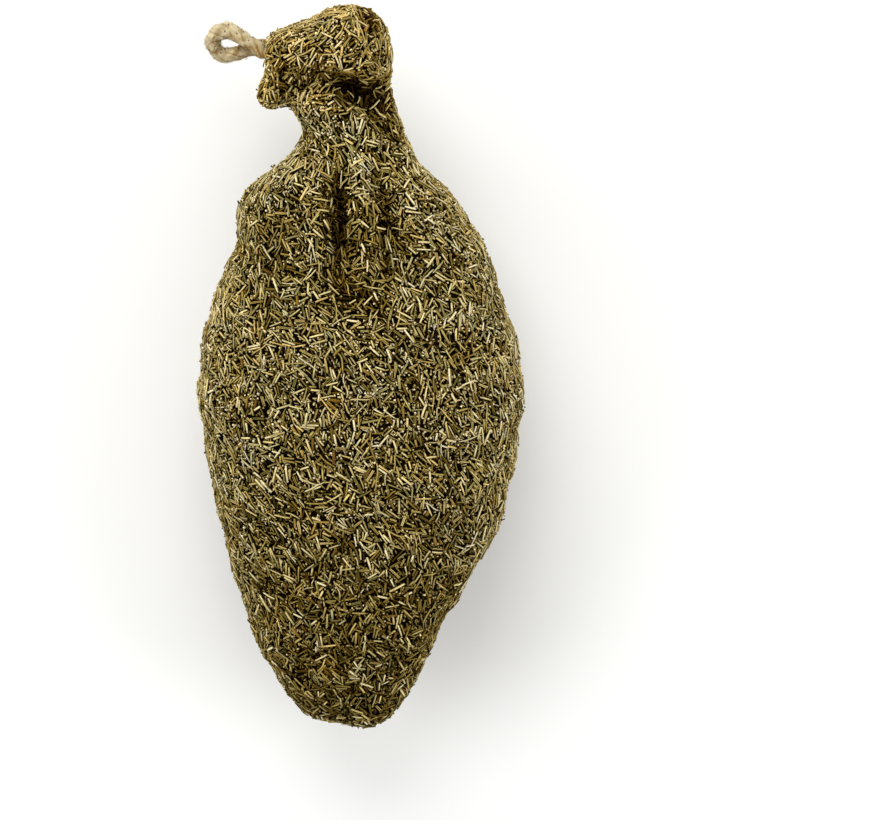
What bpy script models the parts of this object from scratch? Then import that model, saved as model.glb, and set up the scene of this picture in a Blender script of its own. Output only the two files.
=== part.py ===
"""A whole dry-cured ham in a crust of dried herbs, lying on its back with its tied end towards +Y.

Metres, +Z up. The origin is the middle of the ham's footprint on the surface that it lies on: +X is the
right of the shown side, +Y runs from the blunt tip to the tied neck, and +Z faces the viewer.
"""

import math

import bmesh
import bpy
import numpy as np
from mathutils import Vector
from mathutils.bvhtree import BVHTree

MM = 0.001

# Driving dimensions, in millimetres
TIP_Y = -161.6  # the tip, measured from the origin
AXIS_X = -0.6  # the long axis, sideways
AXIS_Z = 52.0  # height of the long axis over the surface that the ham lies on
BACK_SHARE = 0.95  # the underside is this much as deep as the shown side
SECTION_POWER = 2.15  # 2 is an ellipse, more is squarer

# Outline of the meat and neck: distance from the tip, left edge, right edge, depth from the axis
BODY = (
    (0.0, -12.5, -0.5, 3.0),
    (1.5, -19.0, 7.0, 9.0),
    (6.0, -26.3, 15.0, 14.5),
    (12.5, -31.2, 20.4, 19.5),
    (23.0, -38.5, 24.4, 26.0),
    (44.0, -49.4, 35.5, 36.0),
    (62.0, -52.9, 44.6, 42.7),
    (81.0, -59.3, 55.6, 48.0),
    (103.0, -64.2, 65.2, 53.0),
    (124.0, -67.6, 69.0, 56.0),
    (155.0, -70.6, 71.5, 58.0),
    (187.0, -66.2, 65.7, 55.0),
    (205.0, -59.4, 59.0, 51.0),
    (213.0, -56.8, 55.9, 49.0),
    (220.5, -53.4, 52.8, 46.5),
    (230.0, -52.8, 46.4, 42.5),
    (238.0, -50.0, 40.8, 39.0),
    (246.0, -44.4, 34.0, 34.0),
    (250.5, -38.6, 28.9, 31.0),
    (256.0, -29.8, 23.4, 28.0),
    (266.0, -24.2, 19.6, 24.0),
    (271.5, -24.8, 18.4, 23.0),
    (277.0, -28.0, 16.8, 22.0),
    (288.0, -29.0, 13.5, 21.0),
    (301.0, -19.0, 7.0, 14.0),
    (307.0, -6.0, -6.0, 0.0),
)
# The folded-over end of the casing, a roll lying across the neck: distance along X, lower and upper edge
# as distances from the tip, depth
ROLL = (
    (-40.6, 297.6, 308.6, 8.5),
    (-38.4, 295.0, 310.2, 11.5),
    (-34.4, 292.0, 312.2, 15.5),
    (-26.8, 290.6, 315.4, 21.5),
    (-11.7, 289.6, 320.8, 26.5),
    (-1.0, 288.0, 321.8, 28.0),
    (5.0, 287.0, 320.9, 26.5),
    (10.0, 288.0, 317.0, 21.0),
    (12.8, 291.0, 310.5, 14.0),
    (14.4, 299.5, 300.5, 2.0),
)
ROLL_FORWARD = 4.0  # the roll lies this much in front of the neck's axis
# The corner of the casing that hangs down at the left of the roll: as the body's outline
FLAP = (
    (275.8, -39.5, -39.5, 0.0),
    (277.8, -44.4, -32.5, 7.0),
    (282.0, -45.3, -28.0, 12.0),
    (286.0, -43.8, -26.5, 14.0),
    (291.0, -39.8, -26.0, 14.0),
    (297.0, -38.2, -26.0, 13.0),
    (302.0, -38.0, -27.0, 9.0),
    (306.0, -32.0, -32.0, 0.0),
)
FLAP_FORWARD = 3.0

# Folds: a line of (X, distance from the tip) points, its half width, and its depth, where a ridge has a
# negative depth. The shown side and the underside have their own.
FRONT_FOLDS = (
    ("pleat between the shoulders", ((-7.4, 252.5), (-7.8, 229.0), (-8.7, 208.0)), 3.2, 6.5),
    ("ridge beside the pleat", ((1.7, 256.5), (2.2, 231.0), (3.5, 213.0)), 4.2, -2.4),
    ("valley beside the ridge", ((9.0, 256.5), (12.0, 233.0), (13.0, 214.0)), 4.2, 4.5),
    ("crease under the left shoulder", ((-60.0, 220.0), (-33.0, 211.0), (-9.0, 209.5)), 4.2, 3.4),
    ("left shoulder", ((-38.0, 232.0), (-24.0, 229.5)), 11.0, -3.5),
    ("right shoulder", ((28.0, 225.5), (38.0, 211.5)), 13.0, -3.0),
    ("hollow below the pleats", ((-3.0, 204.0), (9.0, 202.0)), 8.0, 3.5),
    ("gap under the roll", ((-7.0, 287.0), (2.0, 283.5), (11.5, 279.5)), 4.8, 9.0),
    ("gap under the roll's left half", ((-26.0, 287.5), (-14.0, 287.5), (-7.0, 287.0)), 2.6, 3.4),
    ("twist across the neck", ((-17.3, 283.0), (2.6, 273.5), (20.0, 259.0)), 4.0, -3.0),
    ("furrow under the twist", ((-21.0, 268.5), (-8.0, 258.5), (3.0, 246.5)), 3.0, 2.8),
    ("furrow above the twist", ((6.0, 277.5), (17.0, 264.5)), 3.0, 2.8),
    ("crease at the roll's right end", ((3.0, 319.5), (5.2, 313.5), (9.5, 305.0), (11.3, 299.0)), 2.6, 6.0),
    ("crease beside the flap", ((-32.5, 291.0), (-31.0, 275.5)), 2.4, 4.5),
    ("wrinkle along the roll", ((-34.0, 299.0), (-12.0, 302.0), (2.0, 298.5)), 3.0, 1.8),
)
BACK_PLEATS = 6  # pleats that fan out from the neck on the underside
PLEAT_TOP = 272.0
PLEAT_FOOT = 216.0
PLEAT_DEPTH = 4.5
LUMP_HEIGHT = 1.1  # slow unevenness of the whole surface
LUMP_LENGTH = 46.0

# Mesh sizes, in millimetres and counts
RING_POINTS = 72
STATION_STEP = 2.5
FUSE_VOXEL = 2.4
SKIN_TRIANGLES = 4400

# Herb needles fused to the crust
NEEDLE_LENGTH = (7.0, 11.0)
NEEDLE_WIDTH = (1.6, 2.3)
NEEDLE_PROUD = (0.9, 1.4)
NEEDLE_SUNK = 1.2
NEEDLE_STRAY = 1.2  # a needle whose ends would be further than this from the skin is left out
NEEDLE_SPACING = 12.6
NEEDLE_MOST = 318
SEED = 11

# Twine loop out of the tied end
TWINE_DIAMETER = 6.4
TWINE_EXIT = (-39.0, 303.8)
TWINE_SOCKET = 6.5  # how far the twine runs into the tied end
LEG_SPACING = 6.9  # from leg to leg where the two lie one over the other
LEG_STEP = 1.8  # how much nearer to the tied end's tip the lower leg lies than the upper
LEG_CROSSING = 6.0  # from the exit to where one leg crosses over the other
LOOP_BOW = (-57.4, 306.1)  # centre of the loop's round end
LOOP_RADIUS = 5.5
LOOP_DROOP = 7.0
TWINE_POINTS = 48
SOCKET_POINTS = 16
GAP = 0.3  # between the twine and its hole

HERB_COLOUR = (0.15, 0.11, 0.045)
TWINE_COLOUR = (0.62, 0.52, 0.36)


def clear_scene():
    for obj in list(bpy.data.objects):
        bpy.data.objects.remove(obj)


def new_collection(name):
    collection = bpy.data.collections.new(name)
    bpy.context.scene.collection.children.link(collection)
    return collection


def make_material(name, colour, roughness):
    material = bpy.data.materials.new(name)
    material.use_nodes = True
    shader = material.node_tree.nodes["Principled BSDF"]
    shader.inputs["Base Color"].default_value = (*colour, 1.0)
    shader.inputs["Roughness"].default_value = roughness
    shader.inputs["Metallic"].default_value = 0.0
    return material


def smooth_rows(rows, step):
    """The rows again, closer together, on Catmull-Rom curves through every column."""
    rows = np.array(rows, float)
    made = []
    for i in range(len(rows) - 1):
        before = rows[max(i - 1, 0)]
        here = rows[i]
        after = rows[i + 1]
        beyond = rows[min(i + 2, len(rows) - 1)]
        span = after[0] - here[0]
        slope_here = (after - before) / (after[0] - before[0])
        slope_after = (beyond - here) / (beyond[0] - here[0])
        count = max(2, math.ceil(span / step))
        for t in np.arange(count) / count:
            made.append(
                (2 * t**3 - 3 * t**2 + 1) * here
                + (t**3 - 2 * t**2 + t) * span * slope_here
                + (3 * t**2 - 2 * t**3) * after
                + (t**3 - t**2) * span * slope_after
            )
    made.append(rows[-1])
    return np.array(made)


def section_ring(low, high, depth, back_depth):
    """Points round a squarish ellipse between low and high, as (across, out of the plane)."""
    angle = np.arange(RING_POINTS) * 2 * math.pi / RING_POINTS
    cosine = np.cos(angle)
    sine = np.sin(angle)
    across = np.sign(cosine) * np.abs(cosine) ** (2 / SECTION_POWER)
    out = np.sign(sine) * np.abs(sine) ** (2 / SECTION_POWER)
    half = (high - low) / 2
    return (low + high) / 2 + half * across, np.where(out > 0, depth, back_depth) * out


def loft_mesh(name, rows, forward, along_x):
    """A closed skin through the rows, along Y or, for the roll, along X."""
    mesh = bmesh.new()
    rings = []
    for along, low, high, depth in smooth_rows(rows, STATION_STEP):
        depth = max(depth, 0.2)
        high = max(high, low + 0.4)
        across, out = section_ring(low, high, depth, depth * BACK_SHARE)
        ring = []
        for a, b in zip(across, out):
            x, y = (along, a) if along_x else (a, along)
            place = Vector((AXIS_X + x, TIP_Y + y, AXIS_Z + forward + b)) * MM
            ring.append(mesh.verts.new(place))
        rings.append(ring)
    for ring, following in zip(rings, rings[1:]):
        for i in range(RING_POINTS):
            j = (i + 1) % RING_POINTS
            mesh.faces.new((ring[i], ring[j], following[j], following[i]))
    mesh.faces.new(rings[0])
    mesh.faces.new(rings[-1])
    bmesh.ops.recalc_face_normals(mesh, faces=mesh.faces)
    data = bpy.data.meshes.new(name)
    mesh.to_mesh(data)
    mesh.free()
    return data


def evaluated_mesh(obj):
    graph = bpy.context.evaluated_depsgraph_get()
    return bpy.data.meshes.new_from_object(obj.evaluated_get(graph))


def bake_modifiers(obj):
    """Puts the evaluated mesh in place of the object's own and drops its modifiers."""
    data = evaluated_mesh(obj)
    obj.modifiers.clear()
    obj.data = data


def vertex_arrays(data):
    points = np.empty(len(data.vertices) * 3, np.float32)
    normals = np.empty(len(data.vertices) * 3, np.float32)
    data.vertices.foreach_get("co", points)
    data.vertices.foreach_get("normal", normals)
    return points.reshape(-1, 3).astype(float), normals.reshape(-1, 3).astype(float)


def distance_to_line(x, y, line):
    """How far each (x, y) is from a line of straight stretches."""
    best = np.full(x.shape, np.inf)
    for (ax, ay), (bx, by) in zip(line, line[1:]):
        dx = bx - ax
        dy = by - ay
        t = np.clip(((x - ax) * dx + (y - ay) * dy) / (dx * dx + dy * dy), 0, 1)
        best = np.minimum(best, np.hypot(x - ax - t * dx, y - ay - t * dy))
    return best


def smooth_step(value, low, high):
    t = np.clip((value - low) / (high - low), 0, 1)
    return t * t * (3 - 2 * t)


def back_folds():
    """Pleats on the underside, which fan out from the neck to the shoulders."""
    folds = []
    for share in np.linspace(-0.85, 0.85, BACK_PLEATS):
        top = (-4.0 + 17.0 * share, PLEAT_TOP)
        foot = (-2.0 + 44.0 * share, PLEAT_FOOT + 14.0 * abs(share))
        folds.append(("pleat", (top, foot), 3.6, PLEAT_DEPTH))
    return folds


def relief(points, normals):
    """How far the surface moves outwards at each point, in millimetres."""
    x = points[:, 0] / MM - AXIS_X
    y = points[:, 1] / MM - TIP_Y
    z = points[:, 2] / MM
    front = smooth_step(normals[:, 2], -0.25, 0.35)
    back = smooth_step(-normals[:, 2], 0.0, 0.5)
    moved = np.zeros(len(points))
    for side, folds in ((front, FRONT_FOLDS), (back, back_folds())):
        for _, line, width, depth in folds:
            moved -= side * depth * np.exp(-((distance_to_line(x, y, line) / width) ** 2))
    turn = 2 * math.pi / LUMP_LENGTH
    lumps = np.sin(x * turn + 1.3 * np.sin(y * turn * 0.7)) * np.sin(y * turn * 1.1 + 0.9)
    lumps += 0.6 * np.sin(z * turn * 1.7 + x * turn * 0.8) * np.sin(y * turn * 1.9 + 2.0)
    return moved + LUMP_HEIGHT * lumps


def fused_skin(name, voxel):
    """Body, roll and flap as one closed skin with its folds."""
    skin = bpy.data.objects.new(name, loft_mesh("body_loft", BODY, 0.0, False))
    bpy.context.scene.collection.objects.link(skin)
    whole = bmesh.new()
    whole.from_mesh(skin.data)
    for data in (
        loft_mesh("roll_loft", ROLL, ROLL_FORWARD, True),
        loft_mesh("flap_loft", FLAP, FLAP_FORWARD, False),
    ):
        whole.from_mesh(data)
        bpy.data.meshes.remove(data)
    whole.to_mesh(skin.data)
    whole.free()
    remesh = skin.modifiers.new("fuse", "REMESH")
    remesh.mode = "VOXEL"
    remesh.voxel_size = voxel * MM
    soften = skin.modifiers.new("soften", "SMOOTH")
    soften.factor = 0.5
    soften.iterations = 4
    bake_modifiers(skin)
    points, normals = vertex_arrays(skin.data)
    points += normals * (relief(points, normals) * MM)[:, None]
    skin.data.vertices.foreach_set("co", points.astype(np.float32).ravel())
    skin.data.update()
    return skin


def thin_out(obj, triangles):
    triangulate = obj.modifiers.new("triangles", "TRIANGULATE")
    triangulate.keep_custom_normals = False
    decimate = obj.modifiers.new("fewer", "DECIMATE")
    decimate.ratio = triangles / (2 * len(obj.data.polygons))
    bake_modifiers(obj)


def flatten_underside(obj):
    """Cuts the skin off at the surface that it lies on, which leaves the flat spot that it rests on."""
    mesh = bmesh.new()
    mesh.from_mesh(obj.data)
    everything = mesh.verts[:] + mesh.edges[:] + mesh.faces[:]
    cut = bmesh.ops.bisect_plane(
        mesh, geom=everything, dist=1e-6, plane_co=(0, 0, 0), plane_no=(0, 0, -1), clear_outer=True
    )
    rim = [item for item in cut["geom_cut"] if isinstance(item, bmesh.types.BMEdge)]
    bmesh.ops.edgeloop_fill(mesh, edges=rim)
    bmesh.ops.recalc_face_normals(mesh, faces=mesh.faces)
    mesh.to_mesh(obj.data)
    mesh.free()


def surface_samples(data, count, random):
    """Points spread evenly over the skin by chance, with their normals."""
    data.calc_loop_triangles()
    corners = np.empty(len(data.loop_triangles) * 3, np.int32)
    data.loop_triangles.foreach_get("vertices", corners)
    points, _ = vertex_arrays(data)
    a, b, c = (points[corners.reshape(-1, 3)[:, i]] for i in range(3))
    cross = np.cross(b - a, c - a)
    area = np.linalg.norm(cross, axis=1)
    chosen = random.choice(len(area), count, p=area / area.sum())
    u = np.sqrt(random.random((count, 1)))
    v = random.random((count, 1))
    place = (1 - u) * a[chosen] + u * (1 - v) * b[chosen] + u * v * c[chosen]
    return place, cross[chosen] / area[chosen][:, None]


def spaced_apart(places, distance, most):
    """The first places that keep this distance from each other."""
    kept = []
    for i, place in enumerate(places):
        if all(np.linalg.norm(place - places[k]) > distance for k in kept):
            kept.append(i)
        if len(kept) == most:
            break
    return kept


def needle_mesh(name, place, normal, azimuth, length, width, proud, tree):
    """A cut herb stem of triangular section, sunk in the skin, or None where the skin bends."""
    side = normal.cross(Vector((math.cos(azimuth), math.sin(azimuth), 0.31))).normalized()
    run = side.cross(normal).normalized()
    mesh = bmesh.new()
    rings = []
    for end in (-0.5, 0.5):
        wanted = place + run * (end * length)
        found = tree.find_nearest(wanted)[0]
        if (found - wanted).length > NEEDLE_STRAY * MM:
            mesh.free()
            return None
        foot = found - normal * (NEEDLE_SUNK * MM)
        ridge = found + normal * proud + side * (width * 0.12)
        corners = (foot - side * width * 0.6, foot + side * width * 0.6, ridge)
        rings.append([mesh.verts.new(corner) for corner in corners])
    mesh.faces.new(rings[0])
    mesh.faces.new(rings[1])
    for i in range(3):
        j = (i + 1) % 3
        mesh.faces.new((rings[0][i], rings[0][j], rings[1][j], rings[1][i]))
    bmesh.ops.recalc_face_normals(mesh, faces=mesh.faces)
    data = bpy.data.meshes.new(name)
    mesh.to_mesh(data)
    mesh.free()
    return data


def scatter_needles(skin, collection):
    """The largest herb needles, spread over the crust, clear of the flat spot and the twine."""
    random = np.random.default_rng(SEED)
    places, normals = surface_samples(skin.data, 9000, random)
    tree = BVHTree.FromObject(skin, bpy.context.evaluated_depsgraph_get())
    twine = np.array([AXIS_X + TWINE_EXIT[0], TIP_Y + TWINE_EXIT[1], AXIS_Z + ROLL_FORWARD]) * MM
    free = (places[:, 2] > 7 * MM) & (np.linalg.norm(places - twine, axis=1) > 15 * MM)
    places = places[free]
    normals = normals[free]
    for number, i in enumerate(spaced_apart(places, NEEDLE_SPACING * MM, NEEDLE_MOST)):
        length = random.uniform(*NEEDLE_LENGTH) * MM
        width = random.uniform(*NEEDLE_WIDTH) * MM
        proud = random.uniform(*NEEDLE_PROUD) * MM
        azimuth = random.uniform(0, math.pi)
        name = f"needle_{number}"
        place = Vector(places[i])
        normal = Vector(normals[i])
        data = needle_mesh(name, place, normal, azimuth, length, width, proud, tree)
        if data:
            collection.objects.link(bpy.data.objects.new(name, data))


def fuse(obj, collection):
    """Joins everything in the collection to the object in one step."""
    union = obj.modifiers.new("union", "BOOLEAN")
    union.operation = "UNION"
    union.operand_type = "COLLECTION"
    union.collection = collection
    union.solver = "EXACT"
    bake_modifiers(obj)


def cut_out(obj, cutter):
    difference = obj.modifiers.new("difference", "BOOLEAN")
    difference.operation = "DIFFERENCE"
    difference.object = cutter
    difference.solver = "EXACT"
    bake_modifiers(obj)


def keep_largest_piece(obj):
    """Drops loose scraps, the small shells that no longer hang together with the rest."""
    mesh = bmesh.new()
    mesh.from_mesh(obj.data)
    unseen = set(mesh.verts)
    pieces = []
    while unseen:
        edge_of_piece = [unseen.pop()]
        piece = set(edge_of_piece)
        while edge_of_piece:
            vertex = edge_of_piece.pop()
            for edge in vertex.link_edges:
                other = edge.other_vert(vertex)
                if other in unseen:
                    unseen.remove(other)
                    piece.add(other)
                    edge_of_piece.append(other)
        pieces.append(piece)
    largest = max(pieces, key=len)
    scraps = [vertex for piece in pieces if piece is not largest for vertex in piece]
    bmesh.ops.delete(mesh, geom=scraps, context="VERTS")
    bmesh.ops.dissolve_degenerate(mesh, edges=mesh.edges, dist=2e-6)
    bmesh.ops.triangulate(mesh, faces=mesh.faces)
    mesh.to_mesh(obj.data)
    mesh.free()


def twine_route():
    """Centreline of the twine: out of the tied end, round the bow and back in, one leg over the other."""
    exit_x, exit_y = TWINE_EXIT
    bow_x, bow_y = LOOP_BOW
    inside = exit_x + TWINE_SOCKET
    half = LEG_SPACING / 2
    step = LEG_STEP / 2
    crossing_x = exit_x - LEG_CROSSING
    crossing_y = exit_y + step
    points = [
        (inside, exit_y - step, half),
        (inside - 3.0, exit_y - step, half),
        (exit_x - 0.5, exit_y - step, half),
        (exit_x - 2.5, exit_y - step, half),
        (crossing_x, crossing_y + 0.7, half * 0.95),
    ]
    for degrees in range(60, 301, 30):
        angle = math.radians(degrees)
        x = bow_x + LOOP_RADIUS * 1.15 * math.cos(angle)
        y = bow_y + LOOP_RADIUS * math.sin(angle)
        points.append((x, y, half * 0.6 * math.sin(angle)))
    points += [
        (crossing_x, crossing_y - 0.7, -half * 0.95),
        (exit_x - 2.5, exit_y + step, -half),
        (exit_x - 0.5, exit_y + step, -half),
        (inside - 3.0, exit_y + step, -half),
        (inside, exit_y + step, -half),
    ]
    far = exit_x - 2.0 - bow_x + LOOP_RADIUS
    route = []
    for x, y, z in points:
        droop = LOOP_DROOP * min(max((exit_x - 2.0 - x) / far, 0), 1) ** 1.6
        route.append(Vector((AXIS_X + x, TIP_Y + y, AXIS_Z + ROLL_FORWARD + z - droop)) * MM)
    return route


def smooth_route(points, count):
    """Evenly placed points on a Catmull-Rom curve through the route's own points."""
    fine = []
    for i in range(len(points) - 1):
        before = points[max(i - 1, 0)]
        here = points[i]
        after = points[i + 1]
        beyond = points[min(i + 2, len(points) - 1)]
        for step in range(12):
            t = step / 12
            fine.append(
                0.5
                * (
                    2 * here
                    + (after - before) * t
                    + (2 * before - 5 * here + 4 * after - beyond) * t**2
                    + (3 * here - before - 3 * after + beyond) * t**3
                )
            )
    fine.append(points[-1])
    along = np.concatenate([[0], np.cumsum([(b - a).length for a, b in zip(fine, fine[1:])])])
    wanted = np.linspace(0, along[-1], count)
    return np.stack([np.interp(wanted, along, [p[k] for p in fine]) for k in range(3)], axis=1)


def twine_socket(collection):
    """Cutter for the hole that takes both legs of the twine, with a gap all round."""
    radius = TWINE_DIAMETER / 2 + GAP
    middle = (AXIS_X + TWINE_EXIT[0], TIP_Y + TWINE_EXIT[1], AXIS_Z + ROLL_FORWARD)
    mesh = bmesh.new()
    rings = []
    for x in (-6.0, TWINE_SOCKET + GAP):
        ring = []
        for i in range(SOCKET_POINTS):
            angle = (i + 0.5) * 2 * math.pi / SOCKET_POINTS
            y = radius * math.cos(angle) - math.copysign(LEG_STEP / 2, math.sin(angle))
            z = radius * math.sin(angle) + math.copysign(LEG_SPACING / 2, math.sin(angle))
            ring.append(mesh.verts.new(Vector((middle[0] + x, middle[1] + y, middle[2] + z)) * MM))
        rings.append(ring)
    mesh.faces.new(rings[0])
    mesh.faces.new(rings[1])
    for i in range(SOCKET_POINTS):
        j = (i + 1) % SOCKET_POINTS
        mesh.faces.new((rings[0][i], rings[0][j], rings[1][j], rings[1][i]))
    bmesh.ops.recalc_face_normals(mesh, faces=mesh.faces)
    data = bpy.data.meshes.new("twine_socket")
    mesh.to_mesh(data)
    mesh.free()
    cutter = bpy.data.objects.new("twine_socket", data)
    cutter.hide_render = True
    cutter.display_type = "WIRE"
    collection.objects.link(cutter)
    return cutter


def build_ham(parts, cutters):
    ham = fused_skin("ham", FUSE_VOXEL)
    bpy.context.scene.collection.objects.unlink(ham)
    parts.objects.link(ham)
    thin_out(ham, SKIN_TRIANGLES)
    flatten_underside(ham)
    herbs = new_collection("herbs")
    scatter_needles(ham, herbs)
    fuse(ham, herbs)
    for obj in list(herbs.objects):
        bpy.data.objects.remove(obj)
    bpy.data.collections.remove(herbs)
    cut_out(ham, twine_socket(cutters))
    keep_largest_piece(ham)
    ham.data.materials.clear()
    ham.data.materials.append(make_material("herb_crust", HERB_COLOUR, 0.85))


def build_twine(parts):
    curve = bpy.data.curves.new("twine_loop", "CURVE")
    curve.dimensions = "3D"
    curve.bevel_depth = TWINE_DIAMETER / 2 * MM
    curve.bevel_resolution = 2
    curve.use_fill_caps = True
    line = smooth_route(twine_route(), TWINE_POINTS)
    spline = curve.splines.new("POLY")
    spline.points.add(len(line) - 1)
    for point, place in zip(spline.points, line):
        point.co = (*place, 1.0)
    curve.materials.append(make_material("twine", TWINE_COLOUR, 0.9))
    parts.objects.link(bpy.data.objects.new("twine_loop", curve))


def main():
    clear_scene()
    parts = new_collection("herb_crusted_ham")
    cutters = new_collection("cutters")
    build_ham(parts, cutters)
    build_twine(parts)


main()
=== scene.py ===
"""The looks of a whole herb-crusted ham: the twine loop, the crust of cut herbs, the floor, light and camera.

Metres, +Z up, in the frame's own axes: +Y runs from the blunt tip to the tied end, +Z goes up through the
shown side. The twine, the herbs and the places on the crust are given in millimetres, as their headings say.
"""

import itertools
import math
from typing import NamedTuple

import bpy
import numpy as np
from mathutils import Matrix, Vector
from mathutils.bvhtree import BVHTree

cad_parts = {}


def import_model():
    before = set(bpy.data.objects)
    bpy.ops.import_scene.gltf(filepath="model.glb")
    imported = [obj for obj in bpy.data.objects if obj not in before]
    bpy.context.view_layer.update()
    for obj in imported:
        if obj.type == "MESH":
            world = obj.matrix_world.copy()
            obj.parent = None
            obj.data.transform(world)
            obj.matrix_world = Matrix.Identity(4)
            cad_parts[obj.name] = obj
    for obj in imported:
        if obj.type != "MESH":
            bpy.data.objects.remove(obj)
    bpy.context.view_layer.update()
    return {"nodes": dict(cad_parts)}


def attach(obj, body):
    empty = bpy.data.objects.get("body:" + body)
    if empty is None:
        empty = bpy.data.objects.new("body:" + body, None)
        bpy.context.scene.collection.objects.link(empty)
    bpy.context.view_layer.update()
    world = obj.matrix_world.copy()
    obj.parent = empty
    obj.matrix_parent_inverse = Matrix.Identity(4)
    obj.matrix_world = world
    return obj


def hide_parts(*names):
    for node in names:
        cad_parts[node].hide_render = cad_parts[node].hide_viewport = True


MM = 0.001
SEED = 23

# The photograph's view, in the ham's own frame
PHOTO_WIDTH = 0.395  # what the picture's width covers at the ham's axis
VIEW_CENTRE = (0.0371, -0.0178, 0.052)  # the middle of the picture
VIEW_TILT = 10.0  # degrees, from straight above towards the tied end
VIEW_DISTANCE = 1.5
SENSOR_WIDTH = 36.0

# The twine's route in millimetres, as in the ham's solids
TIP_Y = -161.6
AXIS_X = -0.6
AXIS_Z = 52.0
ROLL_FORWARD = 4.0  # how much higher than the axis the roll lies
TWINE_DIAMETER = 6.4
TWINE_EXIT = (-39.0, 303.8)  # across from the ham's axis, and from the blunt tip
TWINE_SOCKET = 6.5  # how far the twine runs into the tied end
LEG_SPACING = 6.9  # from leg to leg where the two lie one over the other
LEG_STEP = 1.8  # how much nearer to the tied end's tip the lower leg lies than the upper
SOCKET_POINT = 3.0  # from a leg's inner end to the next point of the route
EXIT_POINT = 0.5  # from the exit to the route's first point outside
LEG_BEND = 2.5  # from the exit to where the legs start to bend
LEG_CROSSING = 6.0  # from the exit to where one leg crosses over the other
CROSSING_STEP = 0.7  # from there to either leg, along the ham
CROSSING_SPACING = 0.95  # of the legs' spacing, kept where they cross
LOOP_BOW = (-57.4, 306.1)  # centre of the loop's round end
LOOP_RADIUS = 5.5
BOW_ANGLES = range(60, 301, 30)  # degrees round the round end
BOW_STRETCH = 1.15  # how much longer than wide the round end is
BOW_LEAN = 0.6  # of the legs' spacing, from the round end's upper to its lower side
LOOP_DROOP = 7.0  # how much lower the loop's far end hangs
DROOP_START = 2.0  # from the exit
DROOP_POWER = 1.6
ROUTE_STEPS = 12  # between two points of the route

# The twine's looks
TWINE_RINGS = 170
TWINE_SIDES = 36
TWINE_PLIES = 3
TWINE_TURNS = 3.4  # turns of the plies over the whole length
PLY_TOP = 0.98  # how far out the plies reach, as a share of the radius
PLY_GROOVE = 0.18  # depth of the grooves between plies, as a share of the radius
GROOVE_POWER = 1.4  # above 1, the grooves are narrower than the plies
TWINE_SWELL = 0.17  # how much looser and thicker the bow's upper side is, as a share of the radius
SWELL_MIDDLE = 0.42  # of the twine's length
SWELL_REACH = 0.14
SWELL_OFFSET = 0.25  # of the swell, taken off everywhere
TWINE_WAVES = ((0.025, 53, 0), (0.03, 31, 2), (0.02, 97, 1))  # how high, how close along it and round it
TWINE_PALE = (214, 201, 165)
TWINE_BROWN = (152, 118, 50)

# How far from pale to brown the twine's places are
LEG_STAIN = 0.7
LEG_REACH = 0.17  # of the twine's length
# How much browner the grooves between the plies and the bow's inside are
GROOVE_BROWNING = 0.45
INSIDE_BROWNING = 0.75
PATCH_STAIN = 0.15
PATCH_SWING = 0.3
PATCH_RUNS = (47, 83)  # how close the patches follow each other along the twine
STAIN_GRAIN = 0.1

# Loose fibres and crumbs of herb on the twine, in millimetres. Starts, runs and spans are shares of the
# twine's length.
FIBRES = 1500
FIBRE_RINGS = 5
FIBRE_SIDES = 3
FIBRE_STARTS = (0.06, 0.9)
FIBRE_RUN = (0.03, 0.075)
FIBRE_SPAN = (0.05, 0.95)
FIBRE_DRIFT = 0.35  # radians, away from the plies
FIBRE_TOUCH = (0.2, 1.8)  # where a fibre touches the twine, from 0 at its start to 2 at its end
FIBRE_LIFT = (1.3, 0.18)  # shape and scale of how far the ends stand off
FIBRE_LIFT_POWER = 1.5
FIBRE_MOST_LIFT = 1.0
FIBRE_RADIUS = (0.05, 0.1)
FIBRE_LIGHT = 1.1
SPECKS = 75
SPECK_SPAN = (0.1, 0.9)
SPECK_LENGTH = (0.3, 0.75)
SPECK_WIDTH = (0.2, 0.36)
SPECK_SUNK = 0.2
SPECK_PROUD = 0.22
SPECK_TOP = 0.8  # how much smaller a speck is on top
SPECK_LIGHT = (0.5, 1.6)
TWINE_SPECK = (62, 48, 24)

# The crust
FORM_VOXEL = 1.6 * MM
FORM_SMOOTHING = 4
CORE_DEPTH = 2.1 * MM
CORE_SHARE = 0.3  # of the form's faces, kept in the core
FLOOR_GAP = 0.15 * MM
TWINE_CLEARANCE = 4.9 * MM
TWINE_EVERY = 4  # one ring of the twine in so many is tested
TIED_END_LENGTH = 0.045
DENSITY_PATCH = 5.0  # millimetres

# How light the crust is, with painted light and shade
DARKENING = (1.0, 1.19, 2.1)  # green and blue fall faster than red as a herb gets darker
PALEST = 1.1  # the light above which herbs get no paler
HOLLOW_ROUNDS = (12, 60)  # folds show between the form after few and after many rounds of smoothing
HOLLOW_SHADE = 0.9  # painted shade: darkening for each millimetre that a place lies in a fold
HOLLOW_RANGE = (-0.2, 1.4)  # millimetres
LIGHTEST = 0.78  # the most red that a herb's colour has
HERB_SPREAD = 0.2  # how much herbs differ in how light they are
DARK_SPREAD = 0.4  # how much more they differ in dark places
RING_LIGHT = (0.8, 1.2)  # how light a herb is along its length
LAYER_POWER = 1.5  # above 1, only the topmost herbs are the lightest, as painted shade darkens the herbs below them
# Millimetres from the blunt tip, and how light the crust is there: partly painted shade towards the tip and
# painted light towards the tied end, partly the crust's own darker and lighter tone
LIGHT_ALONG = (
    (0, 0.42),
    (60, 0.52),
    (120, 0.90),
    (146, 0.92),
    (163, 1.0),
    (185, 0.95),
    (270, 0.98),
    (300, 1.15),
    (323, 1.15),
)
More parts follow.
